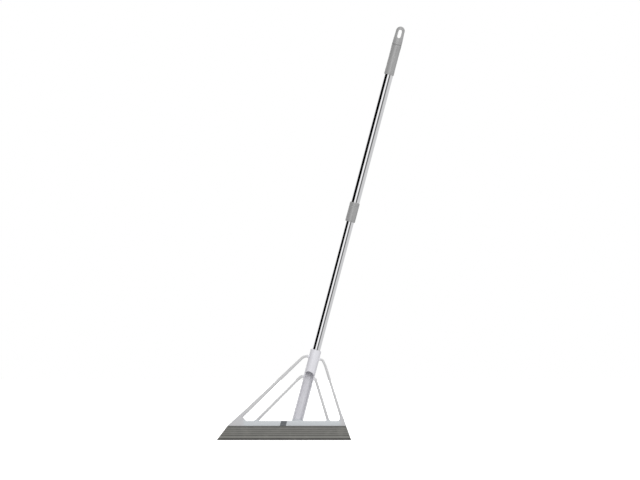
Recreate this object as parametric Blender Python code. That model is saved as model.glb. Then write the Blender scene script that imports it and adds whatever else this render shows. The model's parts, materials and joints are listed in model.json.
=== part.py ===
"""Floor squeegee broom: slanted rubber blade, moulded head and two-part twist-lock pole.

Metres, +Z up. The origin is the middle of the blade's lip on the floor, the blade runs
along X and the pole leans towards +X. Pieces on the pole are placed along its own axis,
as distances from the point where that axis meets the floor.
"""
import math

import bmesh
import bpy
import numpy as np
from mathutils import Matrix, Vector

GAP = 0.0003                       # running and touching clearance
SEGMENTS = 32                      # facets round a turned piece

# Blade: a trapezium with a ribbed face on both sides and a bead on top
BLADE_HEIGHT = 0.0348
BLADE_FOOT_LEFT = -0.1635
BLADE_FOOT_RIGHT = 0.1635
BLADE_TOP_LEFT = -0.1360
BLADE_TOP_RIGHT = 0.1511
BLADE_END_CHAMFER = 0.0030
LIP_HALF = 0.0016
BEAD_HALF = 0.0030
BEAD_LOW = 0.0388
BEAD_HIGH = 0.0432
BEAD_INSET = 0.0035                # how far the bead's ends stay inside the rail
WEB_HALF = 0.0013                  # the thin web that carries the bead

# Key: slanted plate set into the rail's front, with a peg through the blade's bead
KEY_CENTRE = -0.0014
KEY_HALF_WIDTH = 0.0072
KEY_PROUD = 0.0005                 # how far it stands out of the rail
KEY_PLATE_BACK = -0.0046
KEY_PEG_BACK = 0.0028
KEY_PEG_HALF_WIDTH = 0.0030
KEY_PEG_HALF_HEIGHT = 0.0014
KEY_PEG_HEIGHT = 0.0410

# Head moulding
RAIL_LOW = BLADE_HEIGHT + GAP
RAIL_HIGH = 0.0475
RAIL_HALF_DEPTH = 0.0060
RAIL_EDGE = 0.0007
OUTER_STRAP_DEPTH = 0.0080
INNER_STRAP_DEPTH = 0.0070
OUTER_STRAP_AT = 0.2075            # where each strap pair crosses the pole's axis
INNER_STRAP_AT = 0.1580
CLEAR_SIDE = 0.0003                # slot clearance round the blade's bead

# Pole axis and the stations along it
POLE_TILT = math.radians(14.8)
POLE_FOOT_X = 0.0198
NECK_RADIUS = 0.01315
NECK_BACK_LOW = 0.0380             # height of the neck's lower end behind the rail
TROUGH_RADIUS = 0.0106
TROUGH_FLOOR = 0.0482
TROUGH_TOP = 0.1745                # where the trough narrows into the screw thread
THREAD_MOUTH = 0.1770
TROUGH_FRONT_LOW = 0.0490
TROUGH_FRONT_FACE = -0.0038
ARCH_TOP = 0.1725                  # the sleeve's lower front edge, highest left of the middle
ARCH_PEAK_ACROSS = -0.0025
ARCH_DROP_LEFT = 0.0060
ARCH_DROP_RIGHT = 0.0125
ARCH_STEPS = 10
SLEEVE_TOP = 0.2270
THREAD_LOW = 0.1790
THREAD_HIGH = 0.1950
THREAD_PITCH = 0.0040
THREAD_ROOT = 0.0088
THREAD_CREST = 0.0096
THREAD_CLEARANCE = 0.00045
THREAD_STEPS = 21                  # rings along the thread

LOWER_TUBE_LOW = 0.1993
LOWER_TUBE_TOP = 0.6380
LOWER_TUBE_RADIUS = 0.0100
LOWER_TUBE_WALL = 0.0008

LOCK_FLANGE_TOP = 0.6410
LOCK_STEM_TOP = 0.6700
LOCK_STEM_RADIUS = 0.0040
LOCK_SLEEVE_LOW = 0.6445
LOCK_SLEEVE_TOP = 0.6695
LOCK_CAP_TOP = 0.6735
LOCK_SCREW_TOP = 0.6760

UPPER_TUBE_LOW = 0.5620
UPPER_TUBE_TOP = 0.9850
UPPER_TUBE_RADIUS = 0.0110
UPPER_TUBE_WALL = 0.0006
COLLAR_LOW = 0.5500
COLLAR_TOP = 0.5980
COLLAR_RADIUS = 0.01215
COLLAR_GROOVE_AT = 0.5885
GRIP_LOW = 0.9200
GRIP_TOP = 0.9950
GRIP_RADIUS = 0.0120
PLUG_LOW = 0.9580
PLUG_BORE = 0.0040
HANGER_LOW = 0.9530
HANGER_TOP = 1.0410
HANGER_BASE = GRIP_TOP + GAP
HANGER_STEM_RADIUS = PLUG_BORE - GAP
HANGER_TIP_RADIUS = 0.0112
HANGER_HALF_DEPTH = 0.0055
HANGER_HOLE_LOW = 1.0115
HANGER_HOLE_HIGH = 1.0335
HANGER_HOLE_RADIUS = 0.0047

# Colour, roughness and metallic value of each finish
FINISHES = {
    "white_plastic": ((0.80, 0.80, 0.83), 0.35, 0.0),
    "grey_rubber": ((0.19, 0.185, 0.175), 0.75, 0.0),
    "dark_rubber": ((0.16, 0.17, 0.18), 0.6, 0.0),
    "bright_steel": ((0.80, 0.80, 0.82), 0.08, 1.0),
    "grey_plastic": ((0.33, 0.33, 0.33), 0.5, 0.0),
    "black_plastic": ((0.03, 0.03, 0.03), 0.5, 0.0),
    "natural_plastic": ((0.62, 0.62, 0.58), 0.4, 0.0),
    "screw_steel": ((0.45, 0.45, 0.46), 0.35, 1.0),
}


def clear_scene():
    for item in list(bpy.data.objects):
        bpy.data.objects.remove(item, do_unlink=True)


def finish_material(piece_name, finish):
    colour, roughness, metallic = FINISHES[finish]
    material = bpy.data.materials.new(piece_name + "_" + finish)
    material.use_nodes = True
    shader = material.node_tree.nodes["Principled BSDF"]
    shader.inputs["Base Color"].default_value = (*colour, 1.0)
    shader.inputs["Roughness"].default_value = roughness
    shader.inputs["Metallic"].default_value = metallic
    return material


def add_axis(name, parent=None, location=(0.0, 0.0, 0.0), tilt=0.0):
    """An empty that carries the pieces turning or sliding about it."""
    empty = bpy.data.objects.new(name, None)
    bpy.context.collection.objects.link(empty)
    empty.parent = parent
    empty.location = location
    empty.rotation_euler = (0.0, tilt, 0.0)
    return empty


def mesh_from(bm, name):
    """Close off a bmesh: weld, turn every face outward and shade round work smooth."""
    bmesh.ops.remove_doubles(bm, verts=bm.verts, dist=1e-6)
    bmesh.ops.recalc_face_normals(bm, faces=bm.faces)
    mesh = bpy.data.meshes.new(name)
    bm.to_mesh(mesh)
    bm.free()
    mesh.shade_smooth()
    mesh.set_sharp_from_angle(angle=math.radians(35.0))
    return mesh


def add_piece(name, mesh, finish, parent=None):
    piece = bpy.data.objects.new(name, mesh)
    bpy.context.collection.objects.link(piece)
    piece.parent = parent
    mesh.materials.append(finish_material(name, finish))
    return piece


def add_tool(name, mesh, parent=None):
    """A solid that only shapes other pieces and is left out of the part."""
    tool = bpy.data.objects.new(name, mesh)
    bpy.context.collection.objects.link(tool)
    tool.parent = parent
    tool.hide_render = True
    tool.display_type = "WIRE"
    return tool


def combine(piece, tool, operation):
    modifier = piece.modifiers.new(operation.lower() + "_" + tool.name, "BOOLEAN")
    modifier.operation = operation
    modifier.object = tool
    modifier.solver = "EXACT"


def skin(name, rings):
    """Closed body through rings of equal point count, capped at both ends."""
    bm = bmesh.new()
    loops = [[bm.verts.new(point) for point in ring] for ring in rings]
    for low, high in zip(loops, loops[1:]):
        for i in range(len(low)):
            j = (i + 1) % len(low)
            bm.faces.new((low[i], low[j], high[j], high[i]))
    bm.faces.new(loops[0])
    bm.faces.new(loops[-1])
    return mesh_from(bm, name)


def turned(name, profile, segments=SEGMENTS):
    """Body of revolution about Z from (radius, height) points.

    A profile that starts and ends on the axis is solid; any other is a closed ring.
    """
    bm = bmesh.new()
    corners = [bm.verts.new((radius, 0.0, height)) for radius, height in profile]
    edges = [bm.edges.new(pair) for pair in zip(corners, corners[1:])]
    if profile[0][0] > 0.0:
        edges.append(bm.edges.new((corners[-1], corners[0])))
    bmesh.ops.spin(bm, geom=corners + edges, cent=(0.0, 0.0, 0.0), axis=(0.0, 0.0, 1.0),
                   angle=2.0 * math.pi, steps=segments, use_merge=True)
    return mesh_from(bm, name)


def prism(name, outline, front, back):
    """An (x, z) outline extruded along Y from front to back."""
    rings = [[(x, y, z) for x, z in outline] for y in (front, back)]
    return skin(name, rings)


def rounded_corners(corners, steps=4):
    """Polyline points with each (x, z, radius) corner replaced by an arc."""
    points = []
    count = len(corners)
    for i, (x, z, radius) in enumerate(corners):
        here = Vector((x, z))
        if radius == 0.0:
            points.append(here)
            continue
        before = (Vector(corners[i - 1][:2]) - here).normalized()
        after = (Vector(corners[(i + 1) % count][:2]) - here).normalized()
        half = before.angle(after) / 2.0
        centre = here + (before + after).normalized() * radius / math.sin(half)
        reach = radius / math.tan(half)
        start = here + before * reach - centre
        turn = start.angle_signed(here + after * reach - centre)
        for k in range(steps + 1):
            points.append(centre + Matrix.Rotation(-turn * k / steps, 2) @ start)
    return points


def circle(radius, height, segments=SEGMENTS):
    angles = np.arange(segments) * 2.0 * math.pi / segments
    return [(radius * math.cos(a), radius * math.sin(a), height) for a in angles]


def circle_on_level(radius, level, segments=SEGMENTS):
    """A ring round the pole's axis, in the pole's own frame, cut by a level plane."""
    ring = []
    for x, y, _ in circle(radius, 0.0, segments):
        ring.append((x, y, (level + x * math.sin(POLE_TILT)) / math.cos(POLE_TILT)))
    return ring


def thread_rings(extra):
    """Rings of a screw thread; extra widens it for the matching bore."""
    rings = []
    for height in np.linspace(THREAD_LOW, THREAD_HIGH, THREAD_STEPS):
        ring = []
        for x, y, z in circle(1.0, height):
            phase = (height / THREAD_PITCH - math.atan2(y, x) / (2.0 * math.pi)) % 1.0
            crest = min(max(2.0 - abs(phase - 0.5) * 6.0, 0.0), 1.0)
            radius = THREAD_ROOT + (THREAD_CREST - THREAD_ROOT) * crest + extra
            ring.append((radius * x, radius * y, z))
        rings.append(ring)
    return rings


def along_pole(across, station):
    """World (x, z) of a point in the pole's own plane."""
    x = POLE_FOOT_X + across * math.cos(POLE_TILT) + station * math.sin(POLE_TILT)
    z = station * math.cos(POLE_TILT) - across * math.sin(POLE_TILT)
    return x, z


# --- blade -----------------------------------------------------------------

def blade_outline():
    """Half thickness against height: lip, bulge, four ribs, shoulder, web and bead."""
    points = [(LIP_HALF, 0.0), (0.0019, 0.0012), (0.0027, 0.0050), (0.0045, 0.0060),
              (0.0051, 0.0075), (0.0050, 0.0092), (0.0041, 0.0114), (0.0041, 0.0126)]
    for number in range(4):
        foot = 0.0134 + 0.0049 * number
        points += [(0.0050, foot), (0.0050, foot + 0.0014),
                   (0.0043, foot + 0.0024), (0.0043, foot + 0.0040)]
    points += [(0.0055, 0.0334), (0.0055, BLADE_HEIGHT), (WEB_HALF, BLADE_HEIGHT),
               (WEB_HALF, BEAD_LOW), (BEAD_HALF, BEAD_LOW + 0.0006),
               (BEAD_HALF, BEAD_HIGH - 0.0010), (BEAD_HALF - 0.0010, BEAD_HIGH)]
    return points


def blade_ring(side, along, thickness):
    """One cross-section: side is -1 or 1, along the distance in from that end."""
    foot, top = (BLADE_FOOT_LEFT, BLADE_TOP_LEFT)
    if side > 0:
        foot, top = (BLADE_FOOT_RIGHT, BLADE_TOP_RIGHT)
    half = blade_outline()
    ring = []
    for face, points in ((-1.0, half), (1.0, half[::-1])):
        for depth, height in points:
            x = foot + (top - foot) * height / BLADE_HEIGHT - side * along
            if depth <= BEAD_HALF and height >= BLADE_HEIGHT:
                x -= side * BEAD_INSET
            ring.append((x, face * depth * thickness, height))
    return ring


def make_rubber_blade():
    rings = [blade_ring(-1, 0.0, 0.55), blade_ring(-1, BLADE_END_CHAMFER, 1.0),
             blade_ring(1, BLADE_END_CHAMFER, 1.0), blade_ring(1, 0.0, 0.55)]
    blade = add_piece("rubber_blade", skin("rubber_blade", rings), "grey_rubber")
    combine(blade, key_tool("blade_key_slot"), "DIFFERENCE")
    return blade


# --- key that locks the blade in the rail ------------------------------------

def key_mesh(name, extra):
    """Slanted cover plate with a peg on its back, grown by extra on every side."""
    slant = math.tan(POLE_TILT)
    low = RAIL_LOW + 0.0004 - extra
    high = RAIL_HIGH + 0.0006 + extra
    half = KEY_HALF_WIDTH + extra
    plate = []
    for x, z in ((-half, low), (half, low), (half, high), (-half, high)):
        plate.append((KEY_CENTRE + x + (z - (low + high) / 2.0) * slant, z))
    wide, tall = KEY_PEG_HALF_WIDTH + extra, KEY_PEG_HALF_HEIGHT + extra
    peg = [(KEY_CENTRE + x * wide, KEY_PEG_HEIGHT + z * tall)
           for x, z in ((-1.0, -1.0), (1.0, -1.0), (1.0, 1.0), (-1.0, 1.0))]
    front = -RAIL_HALF_DEPTH - KEY_PROUD - extra
    bm = bmesh.new()
    layers = []
    for outline, y in ((plate, front), (plate, KEY_PLATE_BACK + extra),
                       (peg, KEY_PLATE_BACK + extra), (peg, KEY_PEG_BACK + extra)):
        layers.append([bm.verts.new((x, y, z)) for x, z in outline])
    for near, far in zip(layers, layers[1:]):
        for i in range(4):
            j = (i + 1) % 4
            bm.faces.new((near[i], near[j], far[j], far[i]))
    bm.faces.new(layers[0])
    bm.faces.new(layers[-1])
    return mesh_from(bm, name)


def key_tool(name):
    return add_tool(name, key_mesh(name, GAP))


def make_blade_key():
    return add_piece("blade_key", key_mesh("blade_key", 0.0), "dark_rubber")


# --- head moulding -----------------------------------------------------------

def strap(name, corners, depth, start_width, end_width):
    """Bar of rounded section swept along a path in the X-Z plane."""
    path = rounded_corners(corners)
    lengths = [0.0]
    for here, there in zip(path, path[1:]):
        lengths.append(lengths[-1] + (there - here).length)
    rings = []
    for i, point in enumerate(path):
        ahead = path[min(i + 1, len(path) - 1)] - path[max(i - 1, 0)]
        side = Vector((-ahead.y, ahead.x)).normalized()
        share = lengths[i] / lengths[-1]
        half = (start_width + (end_width - start_width) * share) / 2.0
        chamfer = 0.3 * half
        section = [(-half, -depth / 2 + chamfer), (-half + chamfer, -depth / 2),
                   (half - chamfer, -depth / 2), (half, -depth / 2 + chamfer),
                   (half, depth / 2 - chamfer), (half - chamfer, depth / 2),
                   (-half + chamfer, depth / 2), (-half, depth / 2 - chamfer)]
        rings.append([(point.x + side.x * u, v, point.y + side.y * u) for u, v in section])
    return add_tool(name, skin(name, rings))


def make_straps():
    """Outer and inner loop, each one arm to the left and one to the right."""
    outer_root = along_pole(0.0, OUTER_STRAP_AT)
    inner_root = along_pole(0.0, INNER_STRAP_AT)
    return [
        strap("outer_arm_left", [(*outer_root, 0.0), (0.0483, 0.2068, 0.014),
                                 (-0.1178, 0.0470, 0.0)], OUTER_STRAP_DEPTH, 0.0050, 0.0092),
        strap("outer_arm_right", [(*outer_root, 0.0), (0.0935, 0.1952, 0.007),
                                  (0.1000, 0.1815, 0.016), (0.1421, 0.0470, 0.0)],
              OUTER_STRAP_DEPTH, 0.0042, 0.0058),
        strap("inner_arm_left", [(*inner_root, 0.0), (0.0418, 0.1577, 0.009),
                                 (-0.0722, 0.0450, 0.0)], INNER_STRAP_DEPTH, 0.0057, 0.0057),
        strap("inner_arm_right", [(*inner_root, 0.0), (0.0763, 0.1486, 0.007),
                                  (0.1078, 0.0450, 0.0)], INNER_STRAP_DEPTH, 0.0057, 0.0057),
    ]


def rail_mesh():
    """Rail with a gusset rising into each outer arm."""
    corners = [(BLADE_TOP_LEFT, RAIL_LOW, 0.0), (BLADE_TOP_RIGHT, RAIL_LOW, 0.0),
               (0.1424, 0.0595, 0.0), (0.1368, 0.0595, 0.0), (0.1338, RAIL_HIGH, 0.004),
               (-0.0925, RAIL_HIGH, 0.006), (-0.1020, 0.0570, 0.0), (-0.1085, 0.0622, 0.0)]
    outline = rounded_corners(corners)
    return prism("rail", outline, -RAIL_HALF_DEPTH, RAIL_HALF_DEPTH)


def make_neck(pole_axis):
    rings = [circle_on_level(NECK_RADIUS, NECK_BACK_LOW),
             circle(NECK_RADIUS, SLEEVE_TOP - 0.0008), circle(NECK_RADIUS - 0.0008, SLEEVE_TOP)]
    return add_tool("neck", skin("neck", rings), pole_axis)


def make_bore(pole_axis):
    """Trough below, screw thread above it, and a plain socket for the tube on top."""
    rings = [circle_on_level(TROUGH_RADIUS, TROUGH_FLOOR), circle(TROUGH_RADIUS, TROUGH_TOP),
             circle(THREAD_ROOT + THREAD_CLEARANCE, THREAD_MOUTH)]
    rings += thread_rings(THREAD_CLEARANCE)
    socket = LOWER_TUBE_RADIUS + GAP
    rings += [circle(socket, THREAD_HIGH + 0.0007), circle(socket, SLEEVE_TOP + 0.0100)]
    return add_tool("neck_bore", skin("neck_bore", rings), pole_axis)


def make_trough_front():
    """Opens the trough to the front, under an arch that drops further on its right."""
    outline = []
    for across in (-NECK_RADIUS, NECK_RADIUS):
        station = (TROUGH_FRONT_LOW + across * math.sin(POLE_TILT)) / math.cos(POLE_TILT)
        outline.append(along_pole(across, station))
    for step in range(ARCH_STEPS + 1):
        across = NECK_RADIUS * (1.0 - 2.0 * step / ARCH_STEPS)
        drop, reach = ARCH_DROP_LEFT, NECK_RADIUS + ARCH_PEAK_ACROSS
        if across > ARCH_PEAK_ACROSS:
            drop, reach = ARCH_DROP_RIGHT, NECK_RADIUS - ARCH_PEAK_ACROSS
        share = min(abs(across - ARCH_PEAK_ACROSS) / reach, 0.99)
        outline.append(along_pole(across, ARCH_TOP - drop * (1.0 - math.sqrt(1.0 - share ** 2))))
    return add_tool("trough_front", prism("trough_front", outline, -0.0300, TROUGH_FRONT_FACE))


def make_foot_front():
    """Trims the neck's foot flush with the rail's front face."""
    middle = along_pole(0.0, RAIL_LOW)[0]
    left, right = middle - 2.0 * NECK_RADIUS, middle + 2.0 * NECK_RADIUS
    low, high = NECK_BACK_LOW - 0.0080, TROUGH_FRONT_LOW + 0.0010
    outline = [(left, low), (right, low), (right, high), (left, high)]
    return add_tool("foot_front", prism("foot_front", outline, -0.0300, -RAIL_HALF_DEPTH - 0.00005))


def make_bead_slot():
    """T-shaped channel through the rail for the blade's web and bead."""
    web = WEB_HALF + CLEAR_SIDE
    bead = BEAD_HALF + CLEAR_SIDE
    section = [(-web, RAIL_LOW - 0.0050), (-web, BEAD_LOW - GAP), (-bead, BEAD_LOW + 0.0004),
               (-bead, BEAD_HIGH + GAP), (bead, BEAD_HIGH + GAP), (bead, BEAD_LOW + 0.0004),
               (web, BEAD_LOW - GAP), (web, RAIL_LOW - 0.0050)]
    rings = [[(x, y, z) for y, z in section] for x in (-0.2000, 0.2000)]
    return add_tool("bead_slot", skin("bead_slot", rings))


def make_head_frame(pole_axis):
    head = add_piece("head_frame", rail_mesh(), "white_plastic")
    edge = head.modifiers.new("rail_edge", "BEVEL")
    edge.width = RAIL_EDGE
    edge.segments = 1
    edge.limit_method = "ANGLE"
    edge.angle_limit = math.radians(60.0)
    for arm in make_straps():
        combine(head, arm, "UNION")
    combine(head, make_neck(pole_axis), "UNION")
    for tool in (make_bore(pole_axis), make_trough_front(), make_foot_front(), make_bead_slot(),
                 key_tool("rail_key_slot")):
        combine(head, tool, "DIFFERENCE")
    return head


# --- lower pole --------------------------------------------------------------

def make_lower_tube(pole_axis):
    inner = LOWER_TUBE_RADIUS - LOWER_TUBE_WALL
    profile = [(LOWER_TUBE_RADIUS, LOWER_TUBE_LOW), (LOWER_TUBE_RADIUS, LOWER_TUBE_TOP),
               (inner, LOWER_TUBE_TOP), (inner, LOWER_TUBE_LOW)]
    return add_piece("lower_tube", turned("lower_tube", profile), "bright_steel", pole_axis)


def make_thread_spigot(pole_axis):
    """Screwed plug pressed into the lower tube's bottom end."""
    plug = LOWER_TUBE_RADIUS - LOWER_TUBE_WALL - GAP
    flange_top = LOWER_TUBE_LOW - GAP
    rings = [circle(THREAD_ROOT - 0.0010, THREAD_LOW - 0.0010)]
    rings += thread_rings(0.0)
    rings += [circle(THREAD_ROOT, THREAD_HIGH + 0.0010), circle(LOWER_TUBE_RADIUS, flange_top - 0.0024),
              circle(LOWER_TUBE_RADIUS, flange_top), circle(plug, flange_top),
              circle(plug, LOWER_TUBE_LOW + 0.0240), circle(plug - 0.0010, LOWER_TUBE_LOW + 0.0250)]
    mesh = skin("thread_spigot", rings)
    return add_piece("thread_spigot", mesh, "grey_plastic", pole_axis)


# --- twist lock --------------------------------------------------------------

def make_lock_plug(pole_axis):
    """Plug in the lower tube's top end, with the cone and stem of the twist lock."""
    plug = LOWER_TUBE_RADIUS - LOWER_TUBE_WALL - GAP
    hole = 0.0015
    profile = [(0.0, LOWER_TUBE_TOP - 0.0280), (plug - 0.0010, LOWER_TUBE_TOP - 0.0280),
               (plug, LOWER_TUBE_TOP - 0.0270), (plug, LOWER_TUBE_TOP + GAP),
               (LOWER_TUBE_RADIUS - 0.0001, LOWER_TUBE_TOP + GAP),
               (LOWER_TUBE_RADIUS - 0.0001, LOCK_FLANGE_TOP), (0.0080, LOCK_FLANGE_TOP + 0.0015),
               (LOCK_STEM_RADIUS, LOCK_FLANGE_TOP + 0.0080), (LOCK_STEM_RADIUS, LOCK_STEM_TOP),
               (hole, LOCK_STEM_TOP), (hole, LOCK_STEM_TOP - 0.0160), (0.0, LOCK_STEM_TOP - 0.0165)]
    return add_piece("lock_plug", turned("lock_plug", profile), "black_plastic", pole_axis)


def make_lock_sleeve(lock_axis):
    """Split sleeve that the cone spreads against the upper tube's bore."""
    outer = UPPER_TUBE_RADIUS - UPPER_TUBE_WALL - 0.0006
    groove = outer - 0.0013
    bore = LOCK_STEM_RADIUS + GAP
    ring_at = LOCK_SLEEVE_TOP - 0.0060
    profile = [(0.0076, LOCK_SLEEVE_LOW), (outer, LOCK_SLEEVE_LOW), (outer, ring_at - 0.0013),
               (groove, ring_at - 0.0013), (groove, ring_at + 0.0013), (outer, ring_at + 0.0013),
               (outer, LOCK_SLEEVE_TOP), (bore, LOCK_SLEEVE_TOP), (bore, LOCK_SLEEVE_LOW + 0.0055)]
    sleeve = add_piece("lock_sleeve", turned("lock_sleeve", profile), "natural_plastic", lock_axis)
    for number in range(2):
        combine(sleeve, slit_tool(lock_axis, number), "DIFFERENCE")
    return sleeve


def slit_tool(lock_axis, number):
    long, half = 0.0130, 0.0006
    turn = number * math.pi / 2.0 + math.radians(20.0)
    low, high = LOCK_SLEEVE_LOW - 0.0050, LOCK_SLEEVE_LOW + 0.0150
    rings = []
    for height in (low, high):
        ring = []
        for x, y in ((-long, -half), (long, -half), (long, half), (-long, half)):
            ring.append((x * math.cos(turn) - y * math.sin(turn),
                         x * math.sin(turn) + y * math.cos(turn), height))
        rings.append(ring)
    return add_tool(f"lock_slit_{number + 1}", skin("lock_slit", rings), lock_axis)


def make_drag_ring(lock_axis):
    """Rubber ring that makes the lock sleeve turn with the upper tube."""
    middle = UPPER_TUBE_RADIUS - UPPER_TUBE_WALL - GAP - 0.0008
    height = LOCK_SLEEVE_TOP - 0.0060
    profile = []
    for step in range(8):
        angle = 2.0 * math.pi * step / 8
        profile.append((middle + 0.0008 * math.cos(angle), height + 0.0009 * math.sin(angle)))
    return add_piece("drag_ring", turned("drag_ring", profile), "dark_rubber", lock_axis)


def make_lock_cap(pole_axis):
    """Disc that keeps the lock sleeve on its stem."""
    profile = [(0.0016, LOCK_STEM_TOP + GAP), (0.0078, LOCK_STEM_TOP + GAP),
               (0.0078, LOCK_CAP_TOP - 0.0008), (0.0070, LOCK_CAP_TOP), (0.0016, LOCK_CAP_TOP)]
    return add_piece("lock_cap", turned("lock_cap", profile), "black_plastic", pole_axis)


def make_cap_screw(pole_axis):
    """Pan-head screw through the cap into the stem, with a cross slot."""
    head_low = LOCK_CAP_TOP + GAP
    profile = [(0.0, LOCK_STEM_TOP - 0.0150), (0.0012, LOCK_STEM_TOP - 0.0130), (0.0012, head_low),
               (0.0030, head_low), (0.0030, head_low + 0.0010), (0.0022, LOCK_SCREW_TOP),
               (0.0, LOCK_SCREW_TOP)]
    return add_piece("cap_screw", turned("cap_screw", profile, 24), "screw_steel", pole_axis)


# --- upper pole --------------------------------------------------------------

def make_upper_tube(upper_axis):
    inner = UPPER_TUBE_RADIUS - UPPER_TUBE_WALL
    profile = [(UPPER_TUBE_RADIUS, UPPER_TUBE_LOW), (UPPER_TUBE_RADIUS, UPPER_TUBE_TOP),
               (inner, UPPER_TUBE_TOP), (inner, UPPER_TUBE_LOW)]
    return add_piece("upper_tube", turned("upper_tube", profile), "bright_steel", upper_axis)


def make_collar(upper_axis):
    """Ferrule on the upper tube's mouth, bored for the guide bush below the tube."""
    tube = UPPER_TUBE_RADIUS + GAP
    lip = LOWER_TUBE_RADIUS + GAP
    bush = 0.0115
    groove = COLLAR_RADIUS - 0.0004
    profile = [(COLLAR_RADIUS - 0.0005, COLLAR_LOW), (COLLAR_RADIUS, COLLAR_LOW + 0.0005),
               (COLLAR_RADIUS, COLLAR_GROOVE_AT - 0.0005), (groove, COLLAR_GROOVE_AT - 0.0003),
               (groove, COLLAR_GROOVE_AT + 0.0003), (COLLAR_RADIUS, COLLAR_GROOVE_AT + 0.0005),
               (COLLAR_RADIUS, COLLAR_TOP - 0.0005), (COLLAR_RADIUS - 0.0004, COLLAR_TOP),
               (tube, COLLAR_TOP), (tube, UPPER_TUBE_LOW), (bush, UPPER_TUBE_LOW),
               (bush, COLLAR_LOW + 0.0017), (lip, COLLAR_LOW + 0.0017), (lip, COLLAR_LOW)]
    return add_piece("collar", turned("collar", profile), "grey_plastic", upper_axis)


def make_guide_bush(upper_axis):
    """Low-friction ring between the two tubes at the collar."""
    inner, outer = LOWER_TUBE_RADIUS + GAP, 0.0112
    profile = [(inner, COLLAR_LOW + 0.0020), (outer, COLLAR_LOW + 0.0020),
               (outer, UPPER_TUBE_LOW - GAP), (inner, UPPER_TUBE_LOW - GAP)]
    return add_piece("guide_bush", turned("guide_bush", profile), "natural_plastic", upper_axis)


def make_grip(upper_axis):
    """Hand grip over the upper tube's top end, slightly waisted."""
    bore = UPPER_TUBE_RADIUS + GAP
    waist = GRIP_RADIUS - 0.0003
    profile = [(GRIP_RADIUS - 0.0004, GRIP_LOW), (GRIP_RADIUS, GRIP_LOW + 0.0006),
               (GRIP_RADIUS, GRIP_LOW + 0.0060), (waist, GRIP_LOW + 0.0160),
               (waist, GRIP_TOP - 0.0160), (GRIP_RADIUS, GRIP_TOP - 0.0020), (GRIP_RADIUS, GRIP_TOP),
               (bore, GRIP_TOP), (bore, GRIP_LOW)]
    return add_piece("grip", turned("grip", profile), "grey_plastic", upper_axis)


def make_end_plug(upper_axis):
    """Flanged plug in the upper tube's top end, bored for the hanging loop's stem."""
    body = UPPER_TUBE_RADIUS - UPPER_TUBE_WALL - GAP
    profile = [(PLUG_BORE, PLUG_LOW), (body - 0.0010, PLUG_LOW), (body, PLUG_LOW + 0.0010),
               (body, UPPER_TUBE_TOP + GAP), (UPPER_TUBE_RADIUS - 0.0001, UPPER_TUBE_TOP + GAP),
               (UPPER_TUBE_RADIUS - 0.0001, UPPER_TUBE_TOP + 0.0030), (PLUG_BORE, UPPER_TUBE_TOP + 0.0030)]
    return add_piece("end_plug", turned("end_plug", profile), "natural_plastic", upper_axis)


# --- hanging loop ------------------------------------------------------------

def hanger_ring(half_width, half_depth, height):
    """Rounded oblong ring that passes from a circle to a flat tongue."""
    ring = []
    for x, y, _ in circle(1.0, 0.0):
        ring.append((half_width * x, half_depth * y, height))
    return ring


def make_hanging_loop(hanger_axis):
    """Swivelling end piece: stem, round base, flattened tongue with a slot to hang it by."""
    stem_top = UPPER_TUBE_TOP + 0.0030 + GAP
    boss = UPPER_TUBE_RADIUS - 0.0015
    rings = [hanger_ring(HANGER_STEM_RADIUS - 0.0006, HANGER_STEM_RADIUS - 0.0006, HANGER_LOW),
             hanger_ring(HANGER_STEM_RADIUS, HANGER_STEM_RADIUS, HANGER_LOW + 0.0006),
             hanger_ring(HANGER_STEM_RADIUS, HANGER_STEM_RADIUS, stem_top),
             hanger_ring(boss, boss, stem_top), hanger_ring(boss, boss, HANGER_BASE),
             hanger_ring(GRIP_RADIUS - 0.0004, GRIP_RADIUS - 0.0004, HANGER_BASE),
             hanger_ring(GRIP_RADIUS, GRIP_RADIUS, HANGER_BASE + 0.0005)]
    shoulder = HANGER_TOP - HANGER_TIP_RADIUS
    for step in range(1, 9):
        share = step / 8
        ease = share * share * (3.0 - 2.0 * share)
        height = HANGER_BASE + 0.0005 + (shoulder - HANGER_BASE - 0.0005) * share
        rings.append(hanger_ring(GRIP_RADIUS + (HANGER_TIP_RADIUS - GRIP_RADIUS) * ease,
                                 GRIP_RADIUS + (HANGER_HALF_DEPTH - GRIP_RADIUS) * ease, height))
    for step in range(1, 7):
        angle = math.radians(85.0) * step / 6
        rings.append(hanger_ring(HANGER_TIP_RADIUS * math.cos(angle),
                                 HANGER_HALF_DEPTH * math.cos(angle) ** 0.5,
                                 shoulder + HANGER_TIP_RADIUS * math.sin(angle)))
    loop = add_piece("hanging_loop", skin("hanging_loop", rings), "grey_plastic", hanger_axis)
    combine(loop, hole_tool(hanger_axis), "DIFFERENCE")
    return loop


def hole_tool(hanger_axis):
    """Stadium prism through the tongue."""
    outline = []
    for centre, first in ((HANGER_HOLE_HIGH - HANGER_HOLE_RADIUS, 0.0),
                          (HANGER_HOLE_LOW + HANGER_HOLE_RADIUS, math.pi)):
        for step in range(9):
            angle = first + math.pi * step / 8
            outline.append((HANGER_HOLE_RADIUS * math.cos(angle),
                            centre + HANGER_HOLE_RADIUS * math.sin(angle)))
    return add_tool("hanger_hole", prism("hanger_hole", outline, -0.0200, 0.0200), hanger_axis)


def make_hanger_clip(hanger_axis):
    """Push-on washer that keeps the loop's stem in the end plug."""
    low = HANGER_LOW + 0.0012
    profile = [(PLUG_BORE, low), (0.0072, low), (0.0072, PLUG_LOW - GAP), (PLUG_BORE, PLUG_LOW - GAP)]
    return add_piece("hanger_clip", turned("hanger_clip", profile, 24), "screw_steel", hanger_axis)


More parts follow.
